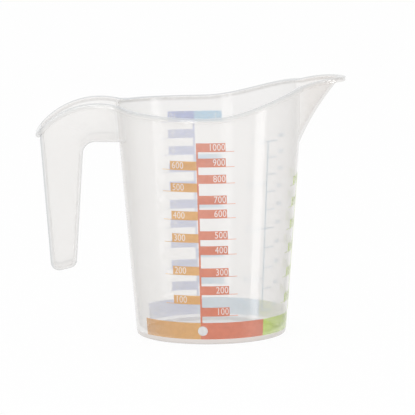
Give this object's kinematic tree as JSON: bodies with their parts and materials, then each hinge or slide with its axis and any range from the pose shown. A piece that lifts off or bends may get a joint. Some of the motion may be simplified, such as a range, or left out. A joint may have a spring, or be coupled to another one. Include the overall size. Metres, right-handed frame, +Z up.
{
  "type": "measuring jug",
  "caption": "Clear plastic measuring jug: tapered cup with a rising pouring spout, a hollow open-topped hook handle, a skirted rim and coloured scales printed round the wall.",
  "frame": {"origin": "centre of the foot ring, on the plane the jug stands on", "axes": "+Z up along the cup's axis, +X towards the spout's tip, so the handle is at -X"},
  "size_m": [0.1964, 0.1224, 0.1624],
  "materials": {
    "clear_plastic": "translucent polypropylene, satin gloss",
    "orange_ink": "printed ink, slightly see-through",
    "red_ink": "printed ink, slightly see-through",
    "green_ink": "printed ink, slightly see-through",
    "blue_ink": "printed ink, slightly see-through",
    "violet_ink": "printed ink, slightly see-through"
  },
  "bodies": {
    "root": {"cup_wall": "clear_plastic", "cup_floor": "clear_plastic", "foot_ring": "clear_plastic", "rim_lip": "clear_plastic", "pouring_spout": "clear_plastic", "spout_lip": "clear_plastic", "handle_bridge": "clear_plastic", "handle_grip": "clear_plastic", "handle_lip": "clear_plastic", "inner_scale_ribs": "clear_plastic", "orange_scale_print": "orange_ink", "red_scale_print": "red_ink", "green_scale_print": "green_ink", "blue_scale_print": "blue_ink", "violet_scale_print": "violet_ink"}
  },
  "joints": []
}
